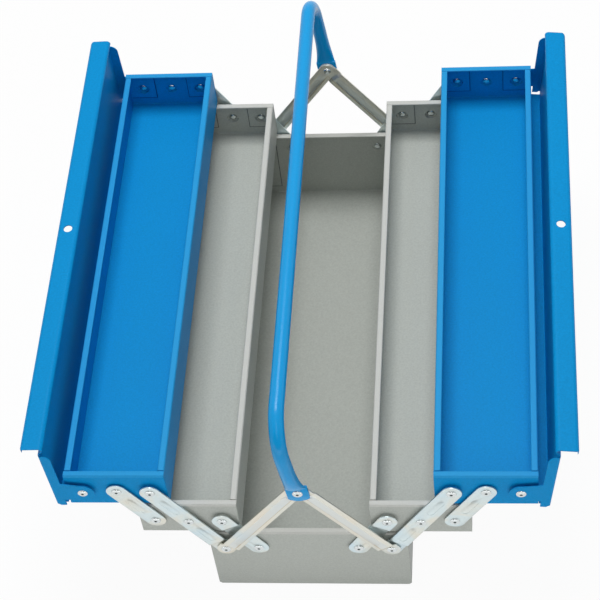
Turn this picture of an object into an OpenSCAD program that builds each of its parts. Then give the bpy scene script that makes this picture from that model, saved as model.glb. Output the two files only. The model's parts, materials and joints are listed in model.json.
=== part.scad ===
// Five-compartment cantilever tool box in folded sheet steel, standing open.
// A deep bin carries two middle trays and two lidded top trays on parallel links.
// X is across the box, Y along it, Z up. The origin is under the middle of the bin.

/* [Bin and trays] */
// Outside width of the bin
bin_w = 196; // [180:1:240]
// Outside length of the bin and of every tray
bin_l = 530; // [420:5:600]
// Height of the bin
bin_h = 100; // [85:1:140]
// Height of each tray
tray_h = 48; // [44:1:60]
// Sheet thickness of bin, trays and lids
sheet_t = 1; // [0.8:0.1:1.2]
// Width of the folded rim
rim_w = 6.5; // [5:0.5:9]
// Slit left where a long rim meets an end rim
rim_slit = 0.5; // [0.3:0.1:1]
// Width of the corner tabs inside the end walls
tab_w = 30; // [27:1:34]
// Height of the lower edge of a corner tab above the floor
tab_lift = 12; // [8:1:14]
// Cut at the lower corners of the bin
bin_cut = 4; // [3:0.5:5]
// Cut at the lower corners of the trays
tray_cut = 1.5; // [1:0.5:4]

/* [Stacking] */
// Gap between the two halves when the box is shut
centre_gap = 2; // [1:0.5:4]
// Gap between a tray and the rim below it when the box is shut
stack_gap = 2; // [1:0.5:3]
// Sideways reach of each stage when the box is open
open_reach = 30.5; // [26:0.5:32]

/* [Pivots and links] */
// Distance of the end pivots from the long walls
pivot_inset = 16; // [15:0.5:18]
// Drop of the pivots below the rims
pivot_drop = 23; // [21:0.5:26]
// Thickness of the link strips
link_t = 1.5; // [1.2:0.1:2]
// Width of the link strips
link_w = 20; // [17:0.5:22]
// Height of the low pressed bosses
boss_h = 1.2; // [0.8:0.1:1.5]
// Radius of the pressed bosses at their foot
boss_r = 8; // [7.5:0.1:8.5]
// Radius of the rivet shanks
shank_r = 1.8; // [1.5:0.1:2.2]
// Radius of the outer rivet heads
head_r = 5; // [4.5:0.1:5.5]
// Height of the outer rivet heads
head_h = 1.5; // [1.2:0.1:1.8]
// Air between neighbouring strips
layer_gap = 0.2; // [0.15:0.05:0.3]
// Radial running clearance of the pivots
run_gap = 0.08; // [0.04:0.01:0.1]
// Length of a pressed rib on the links
rib_l = 27; // [20:1:28]
// Width of a pressed rib on the links
rib_w = 7; // [5:0.5:9]
// Height of the pressed ribs
rib_h = 0.7; // [0.4:0.1:0.9]

/* [Handle] */
// Height of the handle pivot above the top pivots of the shut box
apex_rise = 16; // [14:0.5:24]
// Height of the grip above the handle pivot
grip_rise = 105; // [90:1:130]
// Diameter of the handle tube
tube_d = 14.5; // [12:0.5:16]
// Bend radius of the handle at the middle of the tube
bend_r = 35; // [28:1:45]
// Lean of the handle as it stands
handle_lean = 6; // [0:1:10]
// Width of the flattened handle ends
flat_w = 21; // [18:0.5:24]
// Thickness of the flattened handle ends
flat_t = 3; // [2.4:0.1:4]
// Width of the handle stays
stay_w = 18; // [16:0.5:20]
// Air between the stays and the rivet heads that pass under them
stay_clear = 0.4; // [0.3:0.1:0.8]

/* [Lids] */
// Angle from shut to the stop of an open lid
lid_stop = 96; // [90:1:98]
// Angle at which the left lid stands open
left_lid_angle = 92; // [84:0.5:98]
// Angle at which the right lid stands open
right_lid_angle = 96; // [84:0.5:98]
// Air between lid and tray corner as the lid swings
lid_clear = 1; // [1:0.1:4]
// Overhang of the shut lid past the long wall
lid_over = 4.5; // [4:0.5:7]
// Setback of the lock flange from the inner wall of the tray
lock_setback = 7.5; // [4:0.5:10]
// Height of the lock flange above the lid
lock_h = 16; // [14:0.5:20]
// Step down of the panel at the root of the lock flange
lock_dip = 4.5; // [3:0.5:5]
// Outer radius of the lock flange's folds
lock_fold_r = 4; // [3:0.5:5]
// Radius of the lock flange's upper corners
lock_corner_r = 4; // [3:0.5:8]
// Radius of the padlock hole
lock_r = 4.5; // [3:0.5:5]
// Width of the lip on the lock flange
lip_w = 3; // [2:0.5:4]
// Depth of the lid's end flanges along the panel
ear_w = 10.5; // [9:0.5:12]
// Radius of the lid's end flanges at the pivot
ear_r = 11.5; // [10:0.5:12]
// Depth of the corner tabs at the outer edge of the lid
ear_tab_w = 9.5; // [9:0.5:14]
// Setback of the end flanges from the lock flange
ear_setback = 10; // [8:1:16]

/* [Hidden] */
$fn = 48;

bin_grey = [0.61, 0.64, 0.61];
tray_blue = [0.08, 0.50, 0.78];
handle_blue = [0.10, 0.55, 0.83];
zinc = [0.84, 0.87, 0.86];
rivet_steel = [0.75, 0.77, 0.76];

over = 1;                                  // overrun of cuts past a face
fold_r = 2 * sheet_t;                      // outer radius of every fold
tray_w = (bin_w - centre_gap) / 2;
pivot_pitch = tray_w / 2 - pivot_inset;    // between neighbouring pivots on a tray
pivot_h = tray_h - pivot_drop;             // pivots above a tray's floor
shut_x = (tray_w + centre_gap) / 2;        // middle of a tray in the shut box
shut_rise = tray_h + stack_gap;            // from one row of pivots to the next, shut
link_pitch = sqrt(shut_rise * shut_rise + pivot_pitch * pivot_pitch);
open_rise = sqrt(link_pitch * link_pitch - open_reach * open_reach);
open_angle = asin(open_reach / link_pitch);

base_x = shut_x + pivot_pitch;             // outer pivots on the bin
base_z = bin_h - pivot_drop;
middle_x = base_x + open_reach;            // middle of the open middle tray
middle_z = base_z + open_rise;
top_x = base_x + 2 * open_reach + pivot_pitch;
top_z = base_z + 2 * open_rise;
lid_x = top_x + pivot_pitch;

// Layers are measured outwards from the end walls
step_y = link_t + layer_gap;               // from one strip to the next
function boss(n) = boss_h + n * step_y;
function layer(n) = boss(n) + layer_gap;
stay_y = layer(2) + head_h + stay_clear;
flat_y = stay_y + 2 * step_y;

apex_z = base_z + 2 * shut_rise + apex_rise;
stay_l = sqrt(base_x * base_x + (apex_z - base_z) * (apex_z - base_z));
stay_angle = atan(base_x / (apex_z - base_z));

// Pivots of a pan: place from its middle, boss level, sheets of its wall, depth that the rivet holds
middle_pivots = [[-pivot_pitch, 1, 2, link_t], [0, 1, 1, link_t], [pivot_pitch, 0, 2, link_t]];
top_pivots = [[-pivot_pitch, 1, 2, link_t], [0, 0, 1, link_t], [pivot_pitch, 1, 2, sheet_t]];
right_bin_pivots = [[shut_x, 0, 1, link_t], [base_x, 0, 2, step_y + link_t - layer_gap]];
bin_pivots = concat(right_bin_pivots, [for (p = right_bin_pivots) [-p[0], p[1], p[2], p[3]]]);
function seat(p) = boss(p[1]) - p[2] * sheet_t;

// Placing
module at_ends() for (k = [0, 1]) mirror([0, k, 0]) children();
module on_left() mirror([1, 0, 0]) children();
module on_rear() mirror([0, 1, 0]) children();
// Stands a flat outline up against the front end wall, at a depth outwards from it
module on_front(y) translate([0, -bin_l / 2 - y, 0]) rotate([90, 0, 0]) children();
// Turns an outline of depth and height into a bar along X
module along_x(l) rotate([90, 0, 90]) linear_extrude(l, center = true) children();
module along_y(l) rotate([90, 0, 0]) linear_extrude(l, center = true) children();

// Flat shapes
// Quarter of a bent sheet, in the quadrant where x and y are positive
module quarter_fold(r = fold_r) {
    difference() {
        intersection() {
            circle(r);
            square(r);
        }
        circle(r - sheet_t);
    }
}

module capsule(l, w) {
    circle(d = w);
    translate([0, l]) circle(d = w);
    translate([-w / 2, 0]) square([w, l]);
}

// Floor, lower folds and nothing else of a channel
module channel_floor(w) {
    translate([-w / 2 + fold_r, 0]) square([w - 2 * fold_r, sheet_t]);
    for (k = [0, 1]) mirror([k, 0])
        translate([w / 2 - fold_r, fold_r]) rotate(-90) quarter_fold();
}

// One folded rim, its outer face at x = 0 and its wall below it
module rim(h) {
    translate([-fold_r, h - fold_r]) quarter_fold();
    translate([-rim_w + sheet_t, h - 2 * sheet_t]) square([rim_w - 2 * sheet_t, 2 * sheet_t]);
    translate([-rim_w + sheet_t, h - sheet_t]) circle(sheet_t);
    translate([-fold_r, h - 2 * sheet_t]) square([fold_r - sheet_t / 2, sheet_t]);
}

// Folded pans
module pan_shell(w, h) {
    wall_h = h - 2 * sheet_t;
    // Floor and long folds
    along_y(bin_l - 2 * fold_r) channel_floor(w);
    for (k = [0, 1]) mirror([k, 0, 0]) {
        // Long wall, below the corner tabs up to the end wall, above them to the upright fold
        translate([w / 2 - sheet_t, -bin_l / 2 + sheet_t, fold_r])
            cube([sheet_t, bin_l - 2 * sheet_t, tab_lift - fold_r]);
        translate([w / 2 - sheet_t, -bin_l / 2 + sheet_t + fold_r, fold_r])
            cube([sheet_t, bin_l - 2 * sheet_t - 2 * fold_r, wall_h - fold_r]);
        // Long rim
        along_y(bin_l - 2 * rim_w - 2 * rim_slit) translate([w / 2, 0]) rim(h);
        // Corner tabs behind the end walls
        at_ends() {
            translate([w / 2 - fold_r, bin_l / 2 - sheet_t - fold_r, tab_lift])
                linear_extrude(wall_h - tab_lift) quarter_fold();
            translate([w / 2 - tab_w, bin_l / 2 - 2 * sheet_t, tab_lift])
                cube([tab_w - fold_r, sheet_t, wall_h - tab_lift]);
        }
    }
    // End walls with their rims
    at_ends() translate([0, bin_l / 2, 0]) {
        along_x(w) {
            translate([-fold_r, fold_r]) rotate(-90) quarter_fold();
            translate([-sheet_t, fold_r]) square([sheet_t, h - 2 * fold_r]);
            rim(h);
        }
    }
}

module pan(w, h, pivot_z, pivots, cut) {
    inside = 2 * sheet_t + over;
    difference() {
        union() {
            pan_shell(w, h);
            for (p = pivots) translate([p[0], 0, pivot_z]) at_ends()
                on_front(-sheet_t) cylinder(r1 = boss_r, r2 = boss_r - sheet_t, h = boss(p[1]) + sheet_t);
        }
        for (p = pivots) translate([p[0], 0, pivot_z]) at_ends() on_front(-inside) {
            cylinder(r1 = boss_r - sheet_t, r2 = boss_r - 2 * sheet_t, h = inside + seat(p));
            cylinder(r = shank_r + run_gap, h = inside + boss(p[1]) + over);
        }
        // Lower corners of the end walls, cut off clear of the long folds
        for (k = [0, 1]) mirror([k, 0, 0]) at_ends() translate([w / 2, 0, 0]) on_front(-fold_r)
            linear_extrude(fold_r + over) polygon([[-cut - over, -over], [over, -over], [over, cut + over]]);
    }
}

// Rivets
dimple_r_share = 0.28;
inner_r_share = 0.85;
inner_h_share = 1.3;

// A rivet through the front wall, seated at two depths outwards from it
module rivet(inner_y, outer_y) {
    on_front(inner_y) cylinder(r = shank_r, h = outer_y - inner_y);
    on_front(outer_y) rotate_extrude() difference() {
        dome(head_r, head_h);
        translate([0, head_h]) circle(head_r * dimple_r_share);
    }
    on_front(inner_y) mirror([0, 0, 1]) rotate_extrude() dome(head_r * inner_r_share, head_h * inner_h_share);
}

// Half outline of a domed head of radius r and height h, on the axis
module dome(r, h) {
    ball_r = (r * r + h * h) / (2 * h);
    intersection() {
        translate([0, h - ball_r]) circle(ball_r, $fn = 96);
        square([r, h]);
    }
}

module pan_rivets(pivots, pivot_z) {
    for (p = pivots) translate([p[0], 0, pivot_z]) at_ends()
        rivet(seat(p), layer(p[1]) + p[3] + layer_gap);
}

// Links
// Side outline of a strip that steps outwards: from z0, steps between za and zb, ends at z1
module stepped(z0, za, zb, z1, lift) {
    polygon([[0, z0], [0, za], [-lift, zb], [-lift, z1],
        [-lift - link_t, z1], [-lift - link_t, zb], [-link_t, za], [-link_t, z0]]);
}

module strip(l, w, holes) {
    difference() {
        capsule(l, w);
        for (z = holes) translate([0, z]) circle(shank_r + run_gap);
    }
}

// Raised rib with its hollow behind, centred on a place along the strip
module rib_pad(place, l, w) {
    translate([0, place - (l - w) / 2]) capsule(l - w, w);
}

// A strip against the front wall at the origin's pivot, leaning by an angle
module lean(x, z, angle) translate([x, 0, z]) rotate([0, angle, 0]) children();

module ribbed(y, place, l, w) {
    difference() {
        union() {
            children();
            on_front(y + link_t / 2) linear_extrude(link_t / 2 + rib_h) rib_pad(place, l, w);
        }
        on_front(y - over) linear_extrude(over + rib_h) rib_pad(place, l - link_t, w - link_t);
    }
}

step_start = link_w / 2 + 1.2 * link_t;    // where a link steps, from its pivot
step_len = step_y * 1.4;

module long_link() {
    half = link_pitch / 2;
    lean(base_x, base_z, open_angle)
        ribbed(layer(1), link_pitch + half, rib_l, rib_w)
        ribbed(layer(1), half + link_t * 2, rib_l, rib_w)
        intersection() {
            on_front(layer(0)) linear_extrude(3 * step_y)
                strip(2 * link_pitch, link_w, [0, link_pitch, 2 * link_pitch]);
            translate([0, -bin_l / 2 - layer(0), 0]) along_x(link_w)
                stepped(-link_w, step_start, step_start + step_len, 2 * link_pitch + link_w, step_y);
        }
}

module lower_link() {
    lean(shut_x, base_z, open_angle)
        intersection() {
            on_front(layer(0)) linear_extrude(3 * step_y) strip(link_pitch, link_w, [0, link_pitch]);
            translate([0, -bin_l / 2 - layer(0), link_pitch]) mirror([0, 0, 1])
                translate([0, -step_y, 0]) along_x(link_w)
                stepped(-link_w, step_start + link_t, step_start + link_t + step_len, link_pitch + link_w, -step_y);
        }
}

module upper_link() {
    lean(middle_x + pivot_pitch, middle_z, open_angle)
        ribbed(layer(0), link_pitch / 2, rib_l, rib_w)
        on_front(layer(0)) linear_extrude(link_t) strip(link_pitch, link_w, [0, link_pitch]);
}

// Handle stays, from the bin's outer pivots to the handle pivot
stay_step = head_r + 0.2 * link_t;         // the strip starts to rise just past the rivet head
stay_lift = stay_y - layer(1);
stay_rise_len = stay_lift * 1.5;
apex_step = stay_w / 2 + 2 * link_t;       // the outer stay steps out before the pivot

module handle_stay(outer) {
    apex_lift = outer * step_y;
    rib_end = stay_w / 2 + 3 * step_y + stay_rise_len;
    lean(base_x, base_z, -stay_angle)
        ribbed(stay_y, stay_l / 2 + link_t, stay_l - rib_end * 2, stay_w / 2)
        intersection() {
            on_front(layer(1)) linear_extrude(stay_lift + 3 * step_y) strip(stay_l, stay_w, [0, stay_l]);
            translate([0, -bin_l / 2, 0]) along_x(stay_w) union() {
                translate([-layer(1), 0])
                    stepped(-stay_w, stay_step, stay_step + stay_rise_len, stay_l / 2, stay_lift);
                translate([-stay_y, 0])
                    stepped(stay_l / 2, stay_l - apex_step - 2 * step_y, stay_l - apex_step, stay_l + stay_w, apex_lift);
            }
        }
}

// Carry handle
tube_r = tube_d / 2;
leg_y = bin_l / 2 + flat_y + tube_r + flat_t * 0.8;
flat_top = flat_w * 0.45;                  // the flat end stops this far above the pivot
flat_foot = flat_w * 0.6;
round_top = flat_top + tube_d * 2.6;       // the tube is round again above this
flat_corner = flat_w * 0.25;
press_step = tube_d / 100;                 // step where the pressed stretch meets the tube

module flat_end() {
    difference() {
        union() {
            translate([-flat_w / 2, -flat_foot + flat_corner]) square([flat_w, flat_foot + flat_top - flat_corner]);
            translate([-flat_w / 2 + flat_corner, -flat_foot]) square([flat_w - 2 * flat_corner, 2 * flat_corner]);
            for (k = [-1, 1]) translate([k * (flat_w / 2 - flat_corner), -flat_foot + flat_corner]) circle(flat_corner);
        }
        circle(shank_r + run_gap);
    }
}

// Stretch where the tube is pressed flat, from the round leg down to the pierced end
module pressed_stretch() {
    hull() {
        translate([0, -leg_y, round_top]) cylinder(r = tube_r - press_step, h = tube_r, $fn = 32);
        on_front(flat_y + press_step) translate([-flat_w / 2 + press_step, flat_top - flat_t])
            cube([flat_w - 2 * press_step, flat_t, flat_t - 2 * press_step]);
    }
}

module carry_handle() color(handle_blue) translate([0, 0, apex_z]) rotate([0, -handle_lean, 0]) {
    translate([0, 0, grip_rise]) rotate([90, 0, 0]) cylinder(r = tube_r, h = 2 * (leg_y - bend_r), center = true);
    at_ends() {
        translate([0, leg_y - bend_r, grip_rise - bend_r]) rotate([90, 0, 90])
            rotate_extrude(angle = 90) translate([bend_r, 0]) circle(tube_r);
        translate([0, leg_y, round_top]) cylinder(r = tube_r, h = grip_rise - bend_r - round_top);
        pressed_stretch();
        on_front(flat_y) linear_extrude(flat_t) flat_end();
    }
}

module handle_rivets() color(rivet_steel) translate([0, 0, apex_z]) at_ends()
    rivet(stay_y, flat_y + flat_t + layer_gap);

// Lids, drawn shut about their pivot: s runs from the outer wall inwards, n upwards
lid_n = sqrt(pow(pivot_inset - fold_r, 2) + pow(pivot_drop - fold_r, 2)) + fold_r + lid_clear;
lid_top = lid_n + sheet_t;
lid_s0 = -(pivot_inset + lid_over + sheet_t);
lid_s1 = tray_w - pivot_inset - lock_setback;
lid_half = bin_l / 2 + layer(1) + sheet_t;
lean_out = lid_stop - 90;
stop_gap = layer_gap * 2;                  // air between outer flange and wall at the stop
flange_n = (pivot_inset + stop_gap - lid_s0 * sin(lean_out)) / cos(lean_out);
ear_s1 = lid_s1 - ear_setback;
ear_n = lid_top - ear_w;
ear_tab_n = lid_top - ear_tab_w;
ear_knee_share = 1.35;                     // the arm is this much wider at the panel than its radius
ear_corner_share = 0.8;                    // rounding of the inner end, of the depth along the panel
lock_half = bin_l / 2 + fold_r;
lock_n = lid_n - lock_dip;
lock_top = lid_top + lock_h;
lock_s = lid_s1 - lock_fold_r;
lock_run = lock_dip * 1.1;                 // length of the step along the panel

module lid_section() {
    translate([lid_s0 + fold_r, lid_n]) square([lock_s - lock_run - lid_s0 - fold_r, sheet_t]);
}

module lid_outer_flange() {
    translate([lid_s0, lid_top - fold_r]) {
        translate([fold_r, 0]) mirror([1, 0]) quarter_fold();
        mirror([0, 1]) square([sheet_t, lid_top - fold_r - flange_n]);
    }
}

// Step, lock flange and lip
module lock_flange() {
    polygon([[lock_s - lock_run - sheet_t, lid_n], [lock_s - lock_run, lid_n], [lock_s, lock_n],
        [lock_s, lock_n + sheet_t], [lock_s - lock_run, lid_top], [lock_s - lock_run - sheet_t, lid_top]]);
    translate([lock_s, lock_n + lock_fold_r]) rotate(-90) quarter_fold(lock_fold_r);
    translate([lid_s1 - sheet_t, lock_n + lock_fold_r])
        square([sheet_t, lock_top - lock_n - 2 * lock_fold_r]);
    translate([lock_s, lock_top - lock_fold_r]) quarter_fold(lock_fold_r);
    translate([lock_s - lip_w, lock_top - sheet_t]) square([lip_w, sheet_t]);
}

// Outline of the lock flange seen across the box, with rounded upper ends
module lock_outline() {
    hull() {
        for (k = [-1, 1]) translate([k * (lock_half - lock_corner_r), lock_top - lock_corner_r])
            circle(lock_corner_r);
        translate([-lock_half, lock_n - over]) square([2 * lock_half, sheet_t]);
    }
}

// End flange: round the pivot, out to the panel, along it, and a corner tab at the outer edge
module ear_outline() {
    ear_top = lid_top - fold_r;
    s0 = lid_s0 + sheet_t;
    corner_r = ear_w * ear_corner_share;
    difference() {
        union() {
            circle(ear_r);
            polygon([[-ear_r, 0], [-ear_r, ear_tab_n], [s0, ear_tab_n], [s0, ear_top - fold_r],
                [s0 + fold_r, ear_top], [ear_s1, ear_top], [ear_s1, ear_n + corner_r], [ear_s1 - corner_r, ear_n],
                [ear_r * ear_knee_share, ear_n], [ear_r, 0]]);
            intersection() {
                translate([ear_s1 - corner_r, ear_n + corner_r]) circle(corner_r);
                translate([ear_s1 - corner_r, ear_n]) square([corner_r, ear_top - ear_n]);
            }
        }
        circle(shank_r + run_gap);
    }
}

module lid(angle) color(tray_blue) translate([lid_x, 0, top_z]) rotate([0, min(angle, lid_stop), 0])
    mirror([1, 0, 0]) {
    along_y(2 * (lid_half - fold_r)) lid_section();
    along_y(bin_l) lid_outer_flange();
    difference() {
        intersection() {
            along_y(2 * lid_half) lock_flange();
            translate([lid_s1, 0, 0]) along_x(2 * (lock_fold_r + lock_run + over)) lock_outline();
        }
        translate([lid_s1 - sheet_t - over, 0, (lock_n + lock_top) / 2]) rotate([0, 90, 0])
            cylinder(r = lock_r, h = sheet_t + 2 * over);
    }
    at_ends() {
        on_front(layer(1)) linear_extrude(sheet_t) ear_outline();
        translate([(lid_s0 + sheet_t + fold_r + ear_s1) / 2, -lid_half + fold_r, lid_top - fold_r])
            along_x(ear_s1 - lid_s0 - sheet_t - fold_r) mirror([1, 0]) quarter_fold();
    }
}

// Pieces of the right side
module middle_tray() color(bin_grey) translate([middle_x, 0, middle_z - pivot_h])
    pan(tray_w, tray_h, pivot_h, middle_pivots, tray_cut);
module top_tray() color(tray_blue) translate([top_x, 0, top_z - pivot_h])
    pan(tray_w, tray_h, pivot_h, top_pivots, tray_cut);
module middle_tray_rivets() color(rivet_steel) translate([middle_x, 0, 0])
    pan_rivets(middle_pivots, middle_z);
module top_tray_rivets() color(rivet_steel) translate([top_x, 0, 0])
    pan_rivets(top_pivots, top_z);

// Pieces of the bin
module bin() color(bin_grey) pan(bin_w, bin_h, base_z, bin_pivots, bin_cut);
module bin_rivets() color(rivet_steel) pan_rivets(bin_pivots, base_z);

bin();
bin_rivets();
color(zinc) on_left() handle_stay(0);  // front_left_handle_stay
color(zinc) handle_stay(1);  // front_right_handle_stay
color(zinc) on_rear() on_left() handle_stay(0);  // rear_left_handle_stay
color(zinc) on_rear() handle_stay(1);  // rear_right_handle_stay
handle_rivets();
carry_handle();
on_left() middle_tray();  // left_middle_tray
on_left() middle_tray_rivets();  // left_middle_tray_rivets
on_left() top_tray();  // left_top_tray
on_left() top_tray_rivets();  // left_top_tray_rivets
on_left() lid(left_lid_angle);  // left_lid
color(zinc) on_left() long_link();  // front_left_long_link
color(zinc) on_rear() on_left() long_link();  // rear_left_long_link
color(zinc) on_left() lower_link();  // front_left_lower_link
color(zinc) on_rear() on_left() lower_link();  // rear_left_lower_link
color(zinc) on_left() upper_link();  // front_left_upper_link
color(zinc) on_rear() on_left() upper_link();  // rear_left_upper_link
middle_tray();  // right_middle_tray
middle_tray_rivets();  // right_middle_tray_rivets
top_tray();  // right_top_tray
top_tray_rivets();  // right_top_tray_rivets
lid(right_lid_angle);  // right_lid
color(zinc) long_link();  // front_right_long_link
color(zinc) on_rear() long_link();  // rear_right_long_link
color(zinc) lower_link();  // front_right_lower_link
color(zinc) on_rear() lower_link();  // rear_right_lower_link
color(zinc) upper_link();  // front_right_upper_link
color(zinc) on_rear() upper_link();  // rear_right_upper_link
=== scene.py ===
# Open cantilever tool box: powder-coated pans, zinc-plated links and a bent tube handle.
# Everything is in metres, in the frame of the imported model: X across the box, Y along it, Z up.
import json
import math

import bpy
from mathutils import Matrix, Vector


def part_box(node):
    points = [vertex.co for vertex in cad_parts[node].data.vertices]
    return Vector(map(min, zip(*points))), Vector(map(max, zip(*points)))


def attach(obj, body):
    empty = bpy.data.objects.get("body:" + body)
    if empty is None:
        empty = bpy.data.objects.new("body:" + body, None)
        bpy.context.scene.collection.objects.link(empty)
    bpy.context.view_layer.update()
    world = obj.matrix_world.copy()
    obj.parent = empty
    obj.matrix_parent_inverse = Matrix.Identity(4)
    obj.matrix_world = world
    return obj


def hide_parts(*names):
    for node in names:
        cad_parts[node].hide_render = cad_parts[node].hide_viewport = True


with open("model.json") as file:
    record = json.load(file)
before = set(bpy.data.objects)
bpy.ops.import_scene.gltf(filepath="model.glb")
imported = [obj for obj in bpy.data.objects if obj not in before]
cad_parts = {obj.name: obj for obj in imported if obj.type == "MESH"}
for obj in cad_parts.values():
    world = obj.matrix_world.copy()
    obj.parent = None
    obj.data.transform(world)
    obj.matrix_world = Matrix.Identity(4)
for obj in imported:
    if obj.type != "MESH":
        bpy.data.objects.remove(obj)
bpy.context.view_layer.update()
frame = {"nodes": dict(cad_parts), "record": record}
nodes = frame["nodes"]
bodyOf = {name: body for body, names in frame["record"]["behaviour"]["bodies"].items() for name in names}

mergeReach = 1e-5    # points nearer than this are one point
hair = 1e-6    # play where points are picked by their place


def setInputs(tree, node, values):
    # a value is set on its socket, another node's output is linked to it
    for socket, value in values.items():
        if isinstance(value, bpy.types.NodeSocket):
            tree.links.new(value, node.inputs[socket])
        else:
            node.inputs[socket].default_value = value


def addNode(tree, kind, place, inputs=None, **settings):
    node = tree.nodes.new(kind)
    node.location = place
    for name, value in settings.items():
        setattr(node, name, value)
    setInputs(tree, node, inputs or {})
    return node


def mathNode(tree, operation, a, b, place):
    return addNode(tree, "ShaderNodeMath", place, {0: a, 1: b}, operation=operation).outputs[0]


def rangeNode(tree, value, ends, place):
    return addNode(tree, "ShaderNodeMapRange", place, {"Value": value, **ends}).outputs[0]


def mixColours(tree, share, below, above, place):
    return addNode(tree, "ShaderNodeMix", place, {0: share, 6: below, 7: above}, data_type="RGBA").outputs[2]


def scaleColour(tree, colour, shade, place):
    return addNode(tree, "ShaderNodeVectorMath", place, {0: colour, "Scale": shade}, operation="SCALE").outputs[0]


def noiseNode(tree, place, inputs):
    return addNode(tree, "ShaderNodeTexNoise", place, inputs).outputs[0]


def objectPlace(tree, place):
    return addNode(tree, "ShaderNodeTexCoord", place).outputs["Object"]


def newGroup(name, inputs, outputs):
    # inputs are (name, socket type, default), outputs (name, socket type)
    tree = bpy.data.node_groups.new(name, "ShaderNodeTree")
    for label, kind, default in inputs:
        tree.interface.new_socket(label, in_out="INPUT", socket_type=kind).default_value = default
    for label, kind in outputs:
        tree.interface.new_socket(label, in_out="OUTPUT", socket_type=kind)
    return tree, addNode(tree, "NodeGroupInput", (-1200, 0)).outputs


def newMaterial(name):
    material = bpy.data.materials.new(name)
    material.use_nodes = True
    tree = material.node_tree
    return material, tree, tree.nodes["Principled BSDF"]


# effects that several finishes share
def powderGrainGroup():
    # orange peel of a powder coat, with slow cloudiness in the shade
    tree, entry = newGroup(
        "powder grain",
        [("Grain per metre", "NodeSocketFloat", 700.0), ("Cloud per metre", "NodeSocketFloat", 9.0),
         ("Speckle", "NodeSocketFloat", 0.05), ("Cloud", "NodeSocketFloat", 0.04)],
        [("Shade", "NodeSocketFloat"), ("Height", "NodeSocketFloat"), ("Polish", "NodeSocketFloat")])
    where = objectPlace(tree, (-1200, -300))
    peel = noiseNode(tree, (-900, 200), {"Vector": where, "Scale": entry["Grain per metre"],
                                         "Detail": 2.0, "Roughness": 0.55})
    cloud = noiseNode(tree, (-900, -100), {"Vector": where, "Scale": entry["Cloud per metre"],
                                           "Detail": 3.0, "Roughness": 0.5})
    shade = 1.0    # around which peel and cloud make it a little lighter or darker
    for texture, strength, y in ((peel, "Speckle", 250), (cloud, "Cloud", -50)):
        swing = mathNode(tree, "SUBTRACT", texture, 0.5, (-650, y))
        swing = mathNode(tree, "MULTIPLY", swing, entry[strength], (-450, y))
        shade = mathNode(tree, "ADD", swing, shade, (-200, y))
    addNode(tree, "NodeGroupOutput", (900, 0), {"Shade": shade, "Height": peel, "Polish": cloud})
    return tree


def softEdgeGroup():
    # rounds the light over sharp sheet edges, and masks them; paint uses the mask for a painted highlight along
    # edges
    tree, entry = newGroup(
        "soft edge",
        [("Radius", "NodeSocketFloat", 0.0008), ("Gain", "NodeSocketFloat", 3.0)],
        [("Normal", "NodeSocketVector"), ("Edge", "NodeSocketFloat")])
    rounded = addNode(tree, "ShaderNodeBevel", (-800, 100), {"Radius": entry["Radius"]}, samples=6).outputs[0]
    surface = addNode(tree, "ShaderNodeNewGeometry", (-800, -150)).outputs["Normal"]
    turn = addNode(tree, "ShaderNodeVectorMath", (-550, 0), {0: rounded, 1: surface}, operation="DOT_PRODUCT")
    away = mathNode(tree, "SUBTRACT", 1.0, turn.outputs["Value"], (-350, 0))
    mask = addNode(tree, "ShaderNodeMath", (-150, 0), {0: away, 1: entry["Gain"]}, operation="MULTIPLY",
                   use_clamp=True).outputs[0]
    addNode(tree, "NodeGroupOutput", (900, 0), {"Normal": rounded, "Edge": mask})
    return tree


def passivationGroup():
    # the thin yellow and blue tints that passivated zinc takes
    tree, entry = newGroup(
        "passivation",
        [("Pale", "NodeSocketColor", (0.8, 0.8, 0.8, 1)), ("Warm", "NodeSocketColor", (0.8, 0.7, 0.6, 1)),
         ("Cool", "NodeSocketColor", (0.6, 0.8, 0.9, 1)), ("Clouds per metre", "NodeSocketFloat", 38.0)],
        [("Color", "NodeSocketColor")])
    cloud = noiseNode(tree, (-900, 0), {"Vector": objectPlace(tree, (-1200, -300)),
                                        "Scale": entry["Clouds per metre"],
                                        "Detail": 2.5, "Roughness": 0.5, "Distortion": 0.6})
    # the brighter clouds turn warm and the darker ones cool
    toWarm = rangeNode(tree, cloud, {"From Min": 0.52, "From Max": 0.68}, (-600, 150))
    toCool = rangeNode(tree, cloud, {"From Min": 0.48, "From Max": 0.34}, (-600, -150))
    warmed = mixColours(tree, toWarm, entry["Pale"], entry["Warm"], (-300, 150))
    cooled = mixColours(tree, toCool, warmed, entry["Cool"], (0, 50))
    addNode(tree, "NodeGroupOutput", (900, 0), {"Color": cooled})
    return tree


grainGroup = powderGrainGroup()
edgeGroup = softEdgeGroup()
tintGroup = passivationGroup()


def grainOf(tree, look):
    return addNode(tree, "ShaderNodeGroup", (-900, 100),
                   {"Grain per metre": look["grain"], "Cloud per metre": look["clouds"],
                    "Speckle": look["speckle"], "Cloud": look["cloud"]}, node_tree=grainGroup).outputs


def edgeOf(tree, look):
    return addNode(tree, "ShaderNodeGroup", (-900, -250),
                   {"Radius": look["softEdge"], "Gain": look["edgeGain"]}, node_tree=edgeGroup).outputs


def roughAndBump(tree, look, grain, below):
    # gloss that drifts with the clouds, and the peel as a fine bump over what is below it
    rough = rangeNode(tree, grain["Polish"],
                      {"To Min": look["roughness"] - look["drift"], "To Max": look["roughness"] + look["drift"]},
                      (-350, -50))
    bump = addNode(tree, "ShaderNodeBump", (-350, -350),
                   {"Height": grain["Height"], "Strength": look["bump"], "Distance": look["peelHeight"], **below})
    return {"Roughness": rough, "Normal": bump.outputs[0]}


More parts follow.
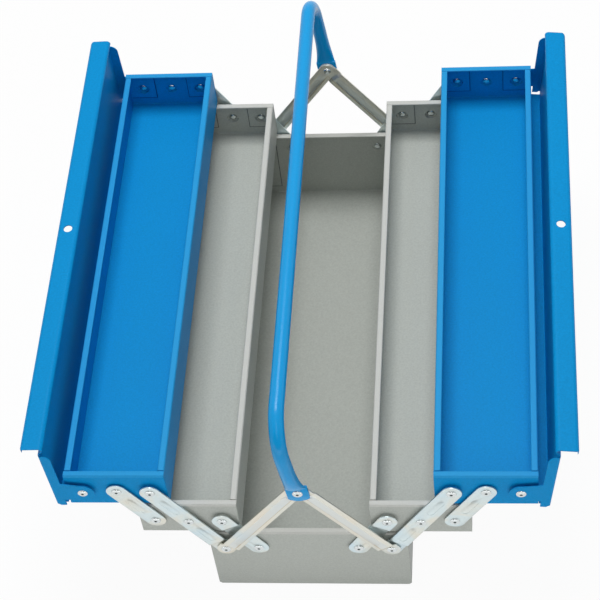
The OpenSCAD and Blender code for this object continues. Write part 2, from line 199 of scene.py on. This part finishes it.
def nearMask(tree, value, wanted, reach, place):
    # 1 where the value is within reach of the wanted one, fading to 0 a fifth further out
    off = mathNode(tree, "ABSOLUTE", mathNode(tree, "SUBTRACT", value, wanted, place), 0.0, place)
    return rangeNode(tree, off, {"From Min": reach * 1.2, "From Max": reach}, place)


# paint
# each paint's edge colour is a painted highlight, lighter for the light its sharp edges and folds catch
powderCoat = {"grain": 520.0, "clouds": 9.0, "speckle": 0.34, "cloud": 0.06, "roughness": 0.45, "drift": 0.05,
              "bump": 0.5, "peelHeight": 0.00012, "softEdge": 0.0005, "edgeGain": 1.6, "edgeHighlightShare": 0.35,
              "rimDeep": 0.0016, "rimHighlightShare": 0.6}
bluePaint = {**powderCoat, "colour": (0.003, 0.285, 0.65), "edge": (0.05, 0.42, 0.82), "specular": 0.065}
# the rim colours below are painted highlights, paler for the light the pans' rims catch
greyPaint = {**powderCoat, "colour": (0.49, 0.515, 0.475), "edge": (0.70, 0.70, 0.66), "specular": 0.25,
             "roughness": 0.48, "cloud": 0.05, "rims": (0.0998, 0.1510), "rimHighlightColour": (0.66, 0.655, 0.62)}
blueTray = {**bluePaint, "rims": (0.2021,), "rimHighlightColour": (0.04, 0.37, 0.75)}
# painted shade: dark colours for the strips in the gaps round the corner tabs
blueSeamShade = {**bluePaint, "colour": (0.001, 0.10, 0.30), "edge": (0.001, 0.10, 0.30)}
greySeamShade = {**greyPaint, "colour": (0.13, 0.145, 0.14), "edge": (0.13, 0.145, 0.14), "rims": ()}
handlePaint = {**powderCoat, "colour": (0.002, 0.335, 0.74), "edge": (0.06, 0.42, 0.86), "specular": 0.25,
               "roughness": 0.25, "speckle": 0.16, "peelHeight": 0.00014}


def rimHighlightMask(tree, look):
    # above 0 only at the heights of the pans' rims, which get a painted highlight
    where = objectPlace(tree, (-1300, 600))
    height = addNode(tree, "ShaderNodeSeparateXYZ", (-1100, 600), {0: where}).outputs["Z"]
    mask = 0.0
    for rim in look["rims"]:
        near = nearMask(tree, height, rim, look["rimDeep"], (-900, 600))
        mask = mathNode(tree, "MAXIMUM", near, mask, (-600, 600))
    return mathNode(tree, "MULTIPLY", mask, look["rimHighlightShare"], (-400, 600))


def paintMaterial(name, look):
    material, tree, shader = newMaterial(name)
    grain, edge = grainOf(tree, look), edgeOf(tree, look)
    painted = scaleColour(tree, look["colour"], grain["Shade"], (-600, 200))
    # painted highlight: sharp edges and folds are mixed towards the lighter edge colour
    share = mathNode(tree, "MULTIPLY", edge["Edge"], look["edgeHighlightShare"], (-600, 0))
    painted = mixColours(tree, share, painted, (*look["edge"], 1), (-350, 200))
    if look.get("rims"):    # painted highlight: the rims are painted paler for the light their upward faces catch
        painted = mixColours(tree, rimHighlightMask(tree, look), painted, (*look["rimHighlightColour"], 1), (-150, 250))
    setInputs(tree, shader, {"Base Color": painted, "Specular IOR Level": look["specular"],
                             **roughAndBump(tree, look, grain, {"Normal": edge["Normal"]})})
    return material


# metal
# the under colour is painted shade with a brownish plating tint, for faces that turn down
zincPlate = {"pale": (0.66, 0.75, 0.76), "warm": (0.73, 0.72, 0.64), "cool": (0.60, 0.73, 0.79),
             "underTintAndShade": (0.36, 0.30, 0.20), "underTintAndShadeShare": 0.85, "tintClouds": 30.0, "metallic": 0.9,
             "roughness": 0.36, "drift": 0.08, "grain": 420.0, "clouds": 60.0, "speckle": 0.06, "cloud": 0.05,
             "bump": 0.35, "peelHeight": 0.00005, "softEdge": 0.0005, "edgeGain": 1.5}
stayPlate = {**zincPlate, "pale": (0.72, 0.72, 0.65), "warm": (0.75, 0.71, 0.61), "cool": (0.62, 0.69, 0.70),
             "underTintAndShade": (0.40, 0.33, 0.20), "tintClouds": 24.0, "roughness": 0.38,
             "band": {"top": 0.193, "foot": (0.082, 0.077), "half": 0.0037, "ends": (0.014, 0.126),
                      "share": 0.55, "colour": (0.61, 0.67, 0.70), "line": -0.0045, "lineHalf": 0.0005,
                      "shadowLineColour": (0.42, 0.31, 0.13)}}
rivetSteel = {"colour": (0.66, 0.70, 0.70), "roughness": 0.20, "drift": 0.06, "metallic": 1.0, "grain": 300.0,
              "clouds": 90.0, "speckle": 0.10, "cloud": 0.10, "bump": 0.3, "peelHeight": 0.00004}
# painted shade: the dark finish for the rivets' dimples
rivetDimpleShade = {**rivetSteel, "colour": (0.05, 0.06, 0.06), "roughness": 0.55}


def undersideMask(tree):
    # 1 on rounded edges that face down, 0 on the flat faces; these get painted shade, with a brownish plating tint
    surface = addNode(tree, "ShaderNodeNewGeometry", (-1300, 0)).outputs["Normal"]
    upward = addNode(tree, "ShaderNodeSeparateXYZ", (-1100, 0), {0: surface}).outputs["Z"]
    return rangeNode(tree, upward, {"From Min": -0.12, "From Max": -0.55}, (-900, 0))


def pressedBand(tree, plain, band):
    # a stay's long pressed rib keeps a blue tint, and a dark yellow-brown line of painted shadow runs under it, on
    # both sides of the box
    run, fall = band["foot"][0], band["top"] - band["foot"][1]
    length = math.hypot(run, fall)
    folded = addNode(tree, "ShaderNodeVectorMath", (-1300, 700), {0: objectPlace(tree, (-1500, 700))},
                     operation="ABSOLUTE").outputs[0]
    distances = []    # from the middle line of the stay, and from its top pivot down along it
    for normal in ((fall / length, 0, run / length), (run / length, 0, -fall / length)):
        reach = addNode(tree, "ShaderNodeVectorMath", (-1100, 700), {0: folded, 1: normal},
                        operation="DOT_PRODUCT").outputs["Value"]
        distances.append(mathNode(tree, "SUBTRACT", reach, normal[2] * band["top"], (-900, 700)))
    across, down = distances
    middle = sum(band["ends"]) / 2
    along = nearMask(tree, down, middle, band["ends"][1] - middle, (-700, 900))
    tinted = plain
    # the second pass paints the line of shadow under the rib
    for at, half, colour in ((0.0, band["half"], band["colour"]),
                             (band["line"], band["lineHalf"], band["shadowLineColour"])):
        mask = mathNode(tree, "MULTIPLY", nearMask(tree, across, at, half, (-700, 700)), along, (-500, 700))
        share = mathNode(tree, "MULTIPLY", mask, band["share"], (-400, 700))
        tinted = mixColours(tree, share, tinted, (*colour, 1), (-300, 700))
    return tinted


def zincMaterial(name, look):
    material, tree, shader = newMaterial(name)
    tint = addNode(tree, "ShaderNodeGroup", (-900, 400),
                   {"Pale": (*look["pale"], 1), "Warm": (*look["warm"], 1), "Cool": (*look["cool"], 1),
                    "Clouds per metre": look["tintClouds"]}, node_tree=tintGroup).outputs["Color"]
    grain, edge = grainOf(tree, look), edgeOf(tree, look)
    plated = scaleColour(tree, tint, grain["Shade"], (-500, 200))
    if "band" in look:
        plated = pressedBand(tree, plated, look["band"])
    share = mathNode(tree, "MULTIPLY", undersideMask(tree), look["underTintAndShadeShare"], (-500, 0))
    plated = mixColours(tree, share, plated, (*look["underTintAndShade"], 1), (-250, 200))    # painted shade under pressed and cut edges, darkened towards ochre with a brownish plating tint
    setInputs(tree, shader, {"Base Color": plated, "Metallic": look["metallic"],
                             **roughAndBump(tree, look, grain, {"Normal": edge["Normal"]})})
    return material


def rivetMaterial(name, look):
    material, tree, shader = newMaterial(name)
    grain = grainOf(tree, look)
    steel = scaleColour(tree, look["colour"], grain["Shade"], (-500, 200))
    setInputs(tree, shader, {"Base Color": steel, "Metallic": look["metallic"],
                             **roughAndBump(tree, look, grain, {})})
    return material


finishes = {
    "blue": paintMaterial("blue powder coat", bluePaint),
    "grey": paintMaterial("grey powder coat", greyPaint),
    "blue tray": paintMaterial("blue tray coat", blueTray),
    "blue seam": paintMaterial("blue seam", blueSeamShade),
    "grey seam": paintMaterial("grey seam", greySeamShade),
    "handle": paintMaterial("blue handle coat", handlePaint),
    "zinc": zincMaterial("passivated zinc", zincPlate),
    "stay": zincMaterial("yellowed zinc", stayPlate),
    "rivet": rivetMaterial("rivet steel", rivetSteel),
    "hollow": rivetMaterial("rivet hollow painted shade", rivetDimpleShade),
}


def finishOf(name):
    if "rivets" in name:
        return "rivet"
    if "stay" in name:
        return "stay"
    if "link" in name:
        return "zinc"
    if name == "carry_handle":
        return "handle"
    if name == "bin" or "middle_tray" in name:
        return "grey"
    return "blue tray" if "top_tray" in name else "blue"


for name, node in nodes.items():
    node.data.materials.clear()
    node.data.materials.append(finishes[finishOf(name)])
print("finished", len(nodes), "packed nodes")


# modelling steps that several pieces share
def startPiece(add, **settings):
    # adds a primitive at its size and place, and goes into edit mode
    bpy.ops.object.select_all(action="DESELECT")
    add(**settings)
    piece = bpy.context.object
    bpy.ops.object.transform_apply(location=True, rotation=True, scale=True)
    bpy.ops.object.mode_set(mode="EDIT")
    return piece


def pick(piece, test):
    # selects the points of the piece that pass the test, in edit mode
    bpy.ops.mesh.select_all(action="DESELECT")
    bpy.ops.object.mode_set(mode="OBJECT")
    for point in piece.data.vertices:
        point.select = test(point.co)
    bpy.ops.object.mode_set(mode="EDIT")
    bpy.ops.mesh.select_mode(type="VERT")


def extrudeBy(x, y, z):
    bpy.ops.mesh.extrude_region_move(TRANSFORM_OT_translate={"value": (x, y, z)})


def addModifier(piece, kind, **settings):
    bpy.context.view_layer.objects.active = piece
    modifier = piece.modifiers.new(kind.lower(), kind)
    for name, value in settings.items():
        setattr(modifier, name, value)
    bpy.ops.object.modifier_apply(modifier=modifier.name)


def cleanPiece():
    # one skin with its faces outwards, for the active piece
    bpy.ops.object.mode_set(mode="EDIT")
    bpy.ops.mesh.select_all(action="SELECT")
    bpy.ops.mesh.remove_doubles(threshold=mergeReach)
    bpy.ops.mesh.normals_make_consistent(inside=False)
    bpy.ops.object.mode_set(mode="OBJECT")


def joinPieces(pieces):
    # the first piece takes in the others
    bpy.ops.object.select_all(action="DESELECT")
    for piece in pieces:
        piece.select_set(True)
    bpy.context.view_layer.objects.active = pieces[0]
    bpy.ops.object.join()
    return pieces[0]


def mergedCopy(name, newName):
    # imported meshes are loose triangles, so the copy has its doubles merged
    copy = bpy.data.objects.new(newName, nodes[name].data.copy())
    bpy.context.scene.collection.objects.link(copy)
    bpy.ops.object.select_all(action="DESELECT")
    copy.select_set(True)
    bpy.context.view_layer.objects.active = copy
    cleanPiece()
    return copy


def dressPiece(piece, name, finish, body, replaced):
    piece.name = piece.data.name = name
    if finish != "rivet":    # rivets have both their finishes already
        piece.data.materials.clear()
        piece.data.materials.append(finishes[finish])
    if replaced:
        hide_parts(*replaced)
    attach(piece, body)


# carry handle: a bent tube whose ends are squeezed flat
carryHandle = {"pivot": 0.193, "lean": 6.0, "legAt": 0.28475, "radius": 0.00725, "rise": 0.105, "bend": 0.035,
               "roundFrom": 0.04715, "flatAt": 0.2751, "flatThick": 0.003, "flatHalf": 0.0105, "flatTop": 0.00945,
               "flatFoot": 0.0126, "footRadius": 0.0155, "lap": 0.0003, "edge": 0.0005, "edgeSteps": 2,
               "widest": 0.962, "widening": 2.5, "press": (0.84, 0.68, 0.54, 0.41, 0.30, 0.20, 0.12, 0.05, 0.0),
               "tubePoints": 40, "footPoints": 120, "bendSteps": 18, "sharp": 35.0, "smooth": 38.0}


def pressedShape(share):
    # half width, half thickness and middle of the squeezed tube, from its flat end (0) to the round (1)
    look = carryHandle
    half = look["radius"] + (look["flatHalf"] * look["widest"] - look["radius"]) * (1 - share) ** look["widening"]
    thick = math.sqrt(2 * look["radius"] ** 2 - half ** 2)
    inner = look["flatAt"] + (look["legAt"] - look["radius"] - look["flatAt"]) * share
    return half, thick, -(inner + thick)


def makeTube():
    look = carryHandle
    foot = look["pivot"] + look["roundFrom"]
    tube = startPiece(bpy.ops.mesh.primitive_circle_add, vertices=look["tubePoints"], radius=look["radius"],
                      location=(0, -look["legAt"], foot))
    bpy.ops.mesh.select_all(action="SELECT")
    extrudeBy(0, 0, look["rise"] - look["bend"] - look["roundFrom"])
    bpy.ops.mesh.spin(steps=look["bendSteps"], angle=math.pi / 2, axis=(1, 0, 0),
                      center=(0, -look["legAt"] + look["bend"], look["pivot"] + look["rise"] - look["bend"]))
    extrudeBy(0, look["legAt"] - look["bend"], 0)
    pick(tube, lambda at: at.z < foot + mergeReach)
    before = (look["radius"], look["radius"], -look["legAt"])
    level = look["roundFrom"]
    for share in look["press"]:    # squeeze the tube, ring by ring, down to the flat end
        shape = pressedShape(share)
        drop = look["flatTop"] + (look["roundFrom"] - look["flatTop"]) * share - level
        level += drop
        extrudeBy(0, shape[2] - before[2], drop)
        bpy.ops.transform.resize(value=(shape[0] / before[0], shape[1] / before[1], 1),
                                 center_override=(0, shape[2], look["pivot"] + level))
        before = shape
    bpy.ops.mesh.edge_face_add()
    bpy.ops.object.mode_set(mode="OBJECT")
    return tube


def makeFlatEnd():
    look = carryHandle
    middle = look["pivot"] + look["footRadius"] - look["flatFoot"]
    flat = startPiece(bpy.ops.mesh.primitive_circle_add, vertices=look["footPoints"], radius=look["footRadius"],
                      fill_type="NGON", location=(0, -look["flatAt"], middle), rotation=(math.pi / 2, 0, 0))
    for point, normal in (((look["flatHalf"], 0, 0), (1, 0, 0)), ((-look["flatHalf"], 0, 0), (-1, 0, 0)),
                          ((0, 0, look["pivot"] + look["flatTop"] + look["lap"]), (0, 0, 1))):
        bpy.ops.mesh.select_all(action="SELECT")
        bpy.ops.mesh.bisect(plane_co=point, plane_no=normal, clear_outer=True)
    bpy.ops.mesh.select_all(action="SELECT")
    extrudeBy(0, -look["flatThick"], 0)
    bpy.ops.object.mode_set(mode="OBJECT")
    cleanPiece()
    addModifier(flat, "BEVEL", width=look["edge"], segments=look["edgeSteps"], limit_method="ANGLE",
                angle_limit=math.radians(look["sharp"]))
    return flat


def makeCarryHandle():
    look = carryHandle
    flat = makeFlatEnd()
    handle = joinPieces([makeTube(), flat])
    addModifier(handle, "MIRROR", use_axis=(False, True, False), use_clip=True, merge_threshold=mergeReach)
    cleanPiece()
    bpy.ops.object.mode_set(mode="EDIT")
    bpy.ops.mesh.select_all(action="SELECT")
    bpy.ops.transform.rotate(value=math.radians(look["lean"]), orient_axis="Y",
                             center_override=(0, 0, look["pivot"]))
    bpy.ops.object.mode_set(mode="OBJECT")
    bpy.ops.object.shade_smooth_by_angle(angle=math.radians(look["smooth"]))
    dressPiece(handle, "bent_carry_handle", "handle", "handle", ["carry_handle"])
    print("bent the carry handle, with", len(handle.data.polygons), "faces")


makeCarryHandle()

# links and stays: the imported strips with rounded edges
pressedStrip = {"round": 0.00045, "segments": 2, "sharp": 25.0, "flat": 1.5, "rib": 0.0007, "sink": 0.0006,
                "smooth": 40.0}


def makePressedStrip(name):
    look = pressedStrip
    strip = mergedCopy(name, name + "_strip")
    bpy.ops.object.mode_set(mode="EDIT")
    bpy.ops.mesh.select_all(action="SELECT")
    bpy.ops.mesh.dissolve_limited(angle_limit=math.radians(look["flat"]))
    reach = max(abs(point.co.y) for point in strip.data.vertices)
    if "long" in name or "upper" in name:    # their ribs are pressed in from outside
        pick(strip, lambda at: abs(at.y) > reach - look["rib"] / 2)
        out = 1 if strip.data.vertices[0].co.y > 0 else -1
        bpy.ops.transform.translate(value=(0, -out * (look["rib"] + look["sink"]), 0))
    bpy.ops.object.mode_set(mode="OBJECT")
    addModifier(strip, "BEVEL", width=look["round"], segments=look["segments"], limit_method="ANGLE",
                angle_limit=math.radians(look["sharp"]))
    bpy.ops.object.shade_smooth_by_angle(angle=math.radians(look["smooth"]))
    dressPiece(strip, name + "_strip", finishOf(name), bodyOf[name], [name])
    return len(strip.data.polygons)


strips = [name for name in nodes if "link" in name or "stay" in name]
print("pressed", len(strips), "links and stays with", sum(makePressedStrip(name) for name in strips), "faces")

# rivets: rings are (radius, height over the seat)
rivetHead = {"points": 28, "shank": 0.0018, "high": 0.0015,
             "dome": ((0.0050, 0.0), (0.0050, 0.00022), (0.00475, 0.0006), (0.0042, 0.00098), (0.0034, 0.00128),
                      (0.0025, 0.00146), (0.0018, 0.0015), (0.0014, 0.00145), (0.00125, 0.0009), (0.0012, 0.0004)),
             "ball": ((0.00425, 0.0), (0.0042, 0.0006), (0.0038, 0.0011), (0.0031, 0.0015), (0.0021, 0.0018),
                      (0.0010, 0.00194)), "ballHigh": 0.00195, "hollow": 0.00128, "smooth": 50.0}


def makeRivet(middle, top, foot):
    # a pin along Y: top is the outer end of the dimpled head, foot the inner end of the plain one
    look = rivetHead
    out = 1 if top > foot else -1
    seat, heel = top - out * look["high"], foot + out * look["ballHigh"]
    rivet = startPiece(bpy.ops.mesh.primitive_circle_add, vertices=look["points"], radius=look["shank"],
                       location=(middle[0], seat, middle[1]), rotation=(math.pi / 2, 0, 0))
    for base, way, rings in ((seat, out, look["dome"]), (heel, -out, look["ball"])):
        if base == heel:
            pick(rivet, lambda at: abs(at.y - seat) < hair and
                 math.hypot(at.x - middle[0], at.z - middle[1]) < look["shank"] + mergeReach)
            extrudeBy(0, heel - seat, 0)
        else:
            bpy.ops.mesh.select_all(action="SELECT")
        radius, at = look["shank"], base
        for ring, height in rings:
            level = base + way * height
            extrudeBy(0, level - at, 0)
            bpy.ops.transform.resize(value=(ring / radius, 1, ring / radius),
                                     center_override=(middle[0], level, middle[1]))
            radius, at = ring, level
        bpy.ops.mesh.edge_face_add()
    bpy.ops.object.mode_set(mode="OBJECT")
    cleanPiece()
    for part in (finishes["rivet"], finishes["hollow"]):
        rivet.data.materials.append(part)
    for face in rivet.data.polygons:    # the hollow tip of the pin, in the dark finish as painted shade
        reach = math.hypot(face.center.x - middle[0], face.center.z - middle[1])
        face.material_index = int(reach < look["hollow"] and (face.center.y - seat) * out > 0)
    return rivet


def rivetsOf(name):
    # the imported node's pins, as (x, z), outer end and inner end
    mergedCopy(name, "loose_pins")
    bpy.ops.object.mode_set(mode="EDIT")
    bpy.ops.mesh.select_all(action="SELECT")
    bpy.ops.mesh.separate(type="LOOSE")
    bpy.ops.object.mode_set(mode="OBJECT")
    found = []
    for pin in list(bpy.context.selected_objects):
        low = [min(point.co[i] for point in pin.data.vertices) for i in range(3)]
        high = [max(point.co[i] for point in pin.data.vertices) for i in range(3)]
        ends = (low[1], high[1]) if low[1] < 0 else (high[1], low[1])
        found.append((((low[0] + high[0]) / 2, (low[2] + high[2]) / 2), *ends))
        bpy.data.objects.remove(pin)
    return found


def makeRivets(name):
    rivets = [makeRivet(*pin) for pin in rivetsOf(name)]
    riveted = joinPieces(rivets)
    bpy.ops.object.shade_smooth_by_angle(angle=math.radians(rivetHead["smooth"]))
    dressPiece(riveted, name + "_headed", "rivet", bodyOf[name], [name])
    return len(rivets)


for name in nodes:
    if "rivets" in name:
        print("riveted", name, makeRivets(name))

# seams round the corner tabs of the pans: dark strips of painted shade in their gaps
tabSeam = {"endWall": 0.265, "sheet": 0.001, "tabWide": 0.030, "tabLift": 0.012, "wide": 0.0007, "deep": 0.0011}


def makeSeam(low, high, side, end):
    # painted shade for the gap along the upright and lower edge of one tab, as a dark L on the inner face of an
    # end wall
    look = tabSeam
    x = (low.x + high.x) / 2 + side * ((high.x - low.x) / 2 - look["tabWide"] - look["wide"] / 2)
    top, foot = high.z - 2 * look["sheet"], low.z + look["tabLift"]
    start = (x, end * (look["endWall"] - look["sheet"] - look["deep"] / 2), top)
    seam = startPiece(bpy.ops.mesh.primitive_plane_add, size=1, location=start)
    bpy.ops.mesh.select_all(action="SELECT")
    bpy.ops.transform.resize(value=(look["wide"], look["deep"], 1), center_override=start)
    extrudeBy(0, 0, foot - top)
    extrudeBy(0, 0, -look["wide"])
    pick(seam, lambda at: at.z < foot + hair and (at.x - x) * side > 0)
    extrudeBy(side * (look["tabWide"] - 2 * look["sheet"]), 0, 0)
    bpy.ops.object.mode_set(mode="OBJECT")
    cleanPiece()
    return seam


def makeSeams(name):
    low, high = (Vector(corner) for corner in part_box(name))
    seams = joinPieces([makeSeam(low, high, side, end) for side in (-1, 1) for end in (-1, 1)])
    colour = "blue" if "top" in name else "grey"
    dressPiece(seams, name + "_tab_seams", colour + " seam", bodyOf[name], [])


for name in nodes:
    if name == "bin" or name.endswith("tray"):
        makeSeams(name)
print("seams round the corner tabs are in")

# floor, lamps and camera
studio = {"floorSize": 60.0, "paper": (0.90, 0.90, 0.90), "paperRough": 0.9, "paperShine": 0.1, "paperGlow": 0.95,
          "sky": (0.97, 0.985, 1.0), "skyLight": 0.28}
darkCard = {"place": (0, -4.2, 2.3), "size": (8.0, 4.4), "colour": (0.02, 0.022, 0.024), "roughness": 0.9}
lamps = {
    "top softbox": {"place": (-0.05, 0.6, 2.5), "aim": (0, 0, 0.1), "size": (1.1, 1.0), "watts": 38.0},
    "front strip": {"place": (0.22, -1.75, 2.2), "aim": (0, 0, 0.15), "size": (0.35, 1.8), "watts": 7.5},
    "low front fill": {"place": (0, -1.25, 0.05), "aim": (0, -0.28, 0.14), "size": (2.6, 0.3), "watts": 5.6},
}
viewCamera = {"place": (0.19961, -1.23147, 1.71938), "elevation": 51.7937, "yaw": 10.1029, "roll": -8.4985,
              "lens": 115.648, "sensor": 36.0, "farthest": 30.0}


def seenMask(tree, x):
    # 1 for the camera, and for shine and glass, so that metal shows the white background too
    path = addNode(tree, "ShaderNodeLightPath", (x, 300)).outputs
    mirrored = mathNode(tree, "MAXIMUM", path["Is Glossy Ray"], path["Is Transmission Ray"], (x + 200, 300))
    return mathNode(tree, "MAXIMUM", path["Is Camera Ray"], mirrored, (x + 400, 300))


def makeFloor():
    bpy.ops.object.select_all(action="DESELECT")
    bpy.ops.mesh.primitive_plane_add(size=studio["floorSize"], location=(0, 0, 0))
    floor = bpy.context.object
    floor.name = "studio_floor"
    material, tree, shader = newMaterial("studio paper")
    setInputs(tree, shader, {"Base Color": (*studio["paper"], 1), "Roughness": studio["paperRough"],
                             "Specular IOR Level": studio["paperShine"]})
    glow = addNode(tree, "ShaderNodeEmission", (0, -300), {"Color": (1, 1, 1, 1), "Strength": 1.0})
    share = mathNode(tree, "MULTIPLY", seenMask(tree, -500), studio["paperGlow"], (100, 300))
    mix = addNode(tree, "ShaderNodeMixShader", (300, 0), {0: share, 1: shader.outputs[0], 2: glow.outputs[0]})
    setInputs(tree, tree.nodes["Material Output"], {"Surface": mix.outputs[0]})
    floor.data.materials.append(material)


def makeDarkCard():
    # a black card low in front, seen by nothing but shine, so that metal has something dark to mirror
    bpy.ops.object.select_all(action="DESELECT")
    bpy.ops.mesh.primitive_plane_add(size=1, location=darkCard["place"], rotation=(math.pi / 2, 0, 0))
    card = bpy.context.object
    card.name = "studio_dark_card"
    card.scale = (*darkCard["size"], 1)
    card.visible_camera = card.visible_diffuse = card.visible_shadow = card.visible_transmission = False
    material, tree, shader = newMaterial("card black")
    setInputs(tree, shader, {"Base Color": (*darkCard["colour"], 1), "Roughness": darkCard["roughness"]})
    card.data.materials.append(material)


def makeSky():
    world = bpy.data.worlds.new("studio sky")
    bpy.context.scene.world = world
    world.use_nodes = True
    tree = world.node_tree
    soft = tree.nodes["Background"]
    setInputs(tree, soft, {"Color": (*studio["sky"], 1), "Strength": studio["skyLight"]})
    white = addNode(tree, "ShaderNodeBackground", (0, -200), {"Color": (1, 1, 1, 1), "Strength": 1.0})
    mix = addNode(tree, "ShaderNodeMixShader", (200, 0),
                  {0: seenMask(tree, -400), 1: soft.outputs[0], 2: white.outputs[0]})
    setInputs(tree, tree.nodes["World Output"], {"Surface": mix.outputs[0]})


def makeLamp(name, lamp):
    data = bpy.data.lights.new(name, "AREA")
    data.shape = "RECTANGLE"
    data.size, data.size_y = lamp["size"]
    data.energy = lamp["watts"]
    holder = bpy.data.objects.new(name, data)
    holder.location = lamp["place"]
    holder.rotation_euler = (Vector(lamp["aim"]) - Vector(lamp["place"])).to_track_quat("-Z", "Y").to_euler()
    holder.visible_camera = False
    bpy.context.scene.collection.objects.link(holder)


def makeCamera():
    data = bpy.data.cameras.new("studio camera")
    data.lens = viewCamera["lens"]
    data.sensor_width = viewCamera["sensor"]
    data.sensor_fit = "HORIZONTAL"
    data.clip_end = viewCamera["farthest"]
    holder = bpy.data.objects.new("studio camera", data)
    turn = (Matrix.Rotation(math.radians(viewCamera["yaw"]), 4, "Z")
            @ Matrix.Rotation(math.radians(90 - viewCamera["elevation"]), 4, "X")
            @ Matrix.Rotation(math.radians(viewCamera["roll"]), 4, "Z"))
    holder.matrix_world = Matrix.Translation(viewCamera["place"]) @ turn
    bpy.context.scene.collection.objects.link(holder)
    bpy.context.scene.camera = holder


makeFloor()
makeDarkCard()
makeSky()
for name, lamp in lamps.items():
    makeLamp(name, lamp)
makeCamera()
bpy.context.scene.view_settings.view_transform = "Standard"
print("studio is lit")
